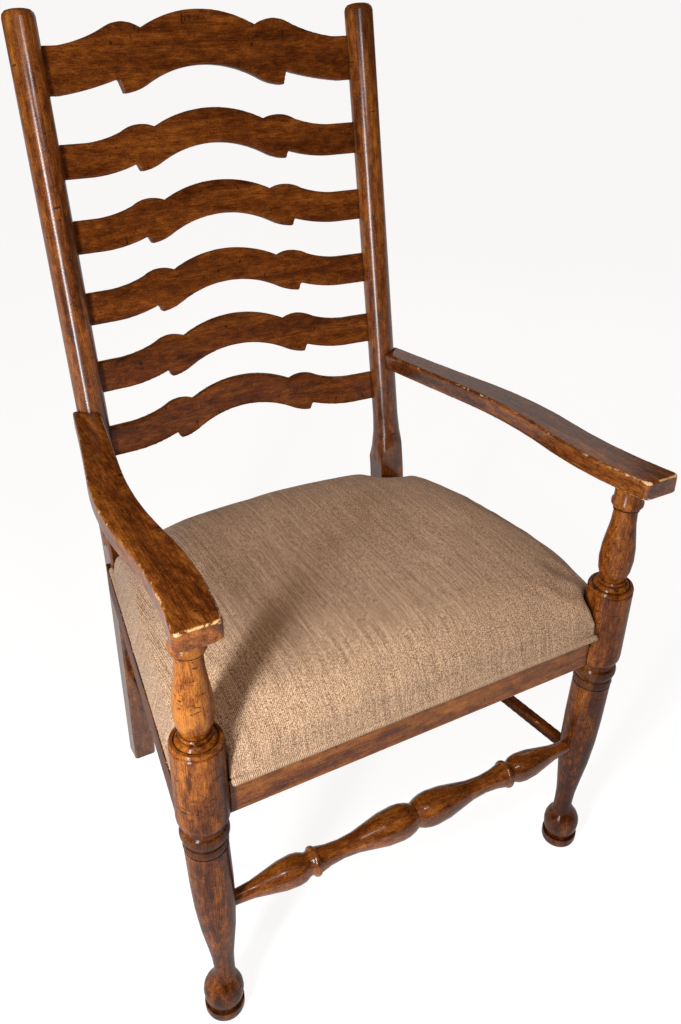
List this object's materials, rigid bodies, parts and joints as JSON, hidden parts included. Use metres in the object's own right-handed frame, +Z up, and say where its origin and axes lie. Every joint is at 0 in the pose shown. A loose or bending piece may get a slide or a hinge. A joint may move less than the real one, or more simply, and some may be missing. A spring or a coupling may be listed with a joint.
{
  "type": "ladder back armchair",
  "caption": "Ladder back armchair with raked round posts, bowed shaped slats, flat arms, turned front legs and stretcher, and an upholstered slip seat.",
  "frame": {"origin": "middle of the chair's footprint box, on the floor", "axes": "+Z up, -Y the way the sitter faces, +X to the right as seen from the front"},
  "size_m": [0.646, 0.6724, 1.1411],
  "materials": {
    "stained_wood": "dark reddish-brown stain under glossy lacquer, with worn edges and distress marks",
    "plain_wood": "unfinished hardwood",
    "plywood": "unfinished plywood",
    "seat_fabric": "ribbed chenille weave in beige and brown",
    "welt_fabric": "cord covered in the seat's own fabric",
    "foam": "upholstery foam",
    "dust_cloth": "black non-woven cloth",
    "steel": "zinc plated"
  },
  "bodies": {
    "root": {"arm_dowels": "plain_wood", "back_seat_rail": "stained_wood", "corner_block_screws": "steel", "crest_slat": "stained_wood", "dust_cover": "dust_cloth", "front_seat_rail": "stained_wood", "front_stretcher": "stained_wood", "front_welt": "welt_fabric", "ladder_slat_1": "stained_wood", "ladder_slat_2": "stained_wood", "ladder_slat_3": "stained_wood", "ladder_slat_4": "stained_wood", "ladder_slat_5": "stained_wood", "left_arm": "stained_wood", "left_back_post": "stained_wood", "left_front_corner_block": "plain_wood", "left_front_leg": "stained_wood", "left_rear_corner_block": "plain_wood", "left_seat_rail": "stained_wood", "left_stretcher": "stained_wood", "left_welt": "welt_fabric", "rear_stretcher": "stained_wood", "rear_welt": "welt_fabric", "right_arm": "stained_wood", "right_back_post": "stained_wood", "right_front_corner_block": "plain_wood", "right_front_leg": "stained_wood", "right_rear_corner_block": "plain_wood", "right_seat_rail": "stained_wood", "right_stretcher": "stained_wood", "right_welt": "welt_fabric", "seat_board": "plywood", "seat_cover": "seat_fabric", "seat_foam": "foam", "seat_screws": "steel"}
  },
  "joints": []
}
